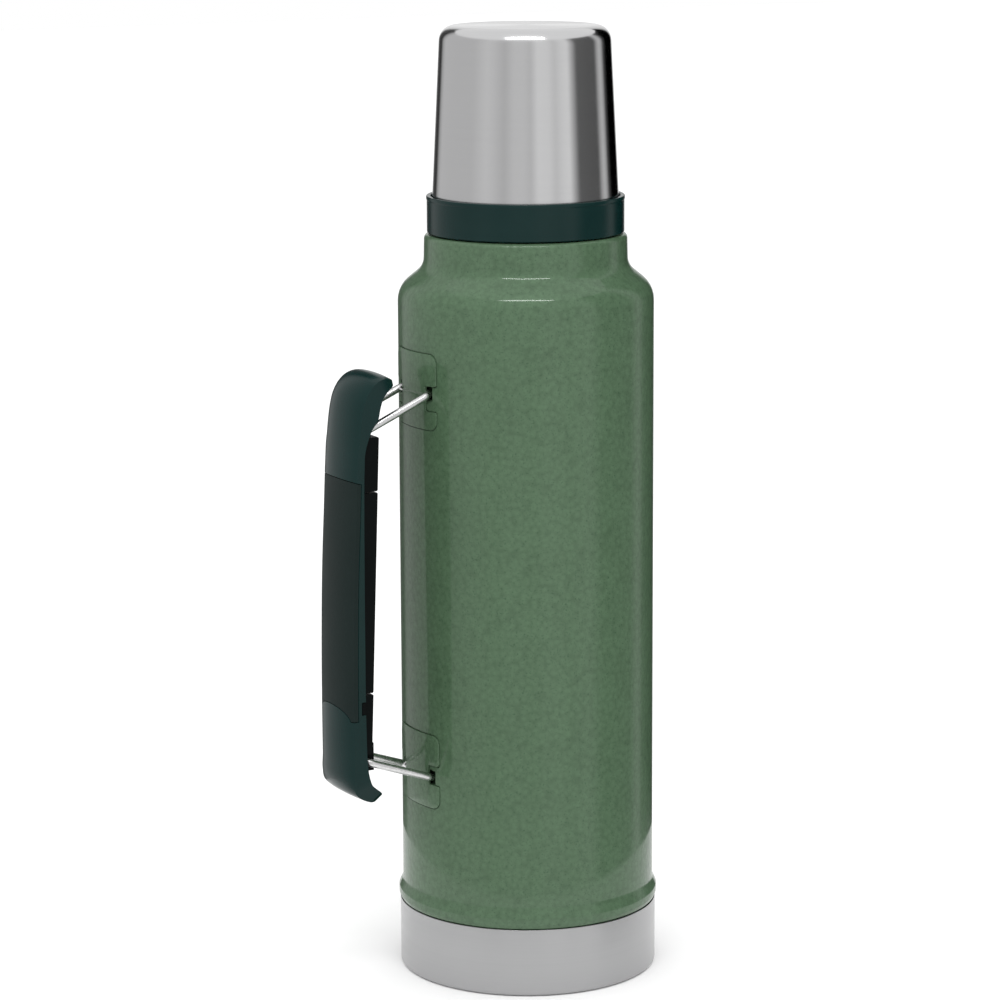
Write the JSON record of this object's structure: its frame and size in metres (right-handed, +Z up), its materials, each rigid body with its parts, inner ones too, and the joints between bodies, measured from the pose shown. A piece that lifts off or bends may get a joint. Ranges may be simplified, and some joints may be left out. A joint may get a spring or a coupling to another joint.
{
  "type": "vacuum flask",
  "caption": "Tall steel vacuum flask with a turned-in shoulder, screw stopper, drinking cup and a folding grip hung on wire bails.",
  "frame": {"origin": "centre of the base's flat bottom", "axes": "+Z up along the flask's axis, handle on the -X side"},
  "size_m": [0.1396, 0.1042, 0.3775],
  "materials": {
    "hammered_paint": "green hammered enamel with a fine dark fleck",
    "brushed_steel": "stainless steel, turned and brushed round the axis",
    "inner_steel": "plain drawn stainless steel",
    "wire_steel": "polished stainless wire",
    "foil": "thin bright foil",
    "dark_plastic": "very dark green moulded polypropylene, satin",
    "soft_plastic": "dark soft-touch moulding with a fine grain",
    "black_plastic": "black moulded nylon",
    "silicone": "grey silicone",
    "foam": "rigid insulating foam"
  },
  "bodies": {
    "root": {"base_cup": "brushed_steel", "outer_shell": "hammered_paint", "shell_bottom": "inner_steel", "vacuum_seal": "inner_steel", "getter": "inner_steel", "inner_vessel": "inner_steel", "heat_shield": "foil", "upper_bracket": "hammered_paint", "lower_bracket": "hammered_paint"},
    "upper_bail": {"upper_bail": "wire_steel"},
    "lower_bail": {"lower_bail": "wire_steel"},
    "grip": {"grip_shell": "dark_plastic", "grip_pad": "soft_plastic", "grip_inner_cover": "black_plastic", "upper_bail_clip": "black_plastic", "lower_bail_clip": "black_plastic"},
    "stopper_seal": {"stopper_gasket": "silicone"},
    "stopper": {"stopper_body": "dark_plastic", "stopper_cap": "dark_plastic", "stopper_foam": "foam", "stopper_ring": "silicone"},
    "cup_seal": {"cup_seal": "silicone"},
    "cup": {"cup_outer": "brushed_steel", "cup_inner": "inner_steel", "cup_collar": "dark_plastic"}
  },
  "joints": [
    {"name": "handle_swing", "type": "hinge", "parent": "root", "child": "upper_bail", "pos_m": [-0.0482, 0, 0.238], "axis": [0, 1, 0], "range_deg": [-21, 20]},
    {"name": "lower_bail_swing", "type": "hinge", "parent": "root", "child": "lower_bail", "pos_m": [-0.0482, 0, 0.0843], "axis": [0, 1, 0], "range_deg": [-19, 18]},
    {"name": "grip_turn", "type": "hinge", "parent": "upper_bail", "child": "grip", "pos_m": [-0.077, 0, 0.2253], "axis": [0, 1, 0], "range_deg": [-24, 25]},
    {"name": "stopper_lift", "type": "slide", "parent": "root", "child": "stopper_seal", "axis": [0, 0, 1], "range_m": [0, 0.038]},
    {"name": "stopper_turn", "type": "hinge", "parent": "stopper_seal", "child": "stopper", "pos_m": [0, 0, 0.3], "axis": [0, 0, 1], "range_deg": [0, 540]},
    {"name": "cup_lift", "type": "slide", "parent": "root", "child": "cup_seal", "axis": [0, 0, 1], "range_m": [0, 0.11]},
    {"name": "cup_turn", "type": "hinge", "parent": "cup_seal", "child": "cup", "pos_m": [0, 0, 0.31], "axis": [0, 0, 1], "range_deg": [0, 540]}
  ],
  "couplings": [
    {"joint": "lower_bail_swing", "follows": "handle_swing", "ratio": 0.896},
    {"joint": "grip_turn", "follows": "handle_swing", "ratio": -1.182}
  ]
}
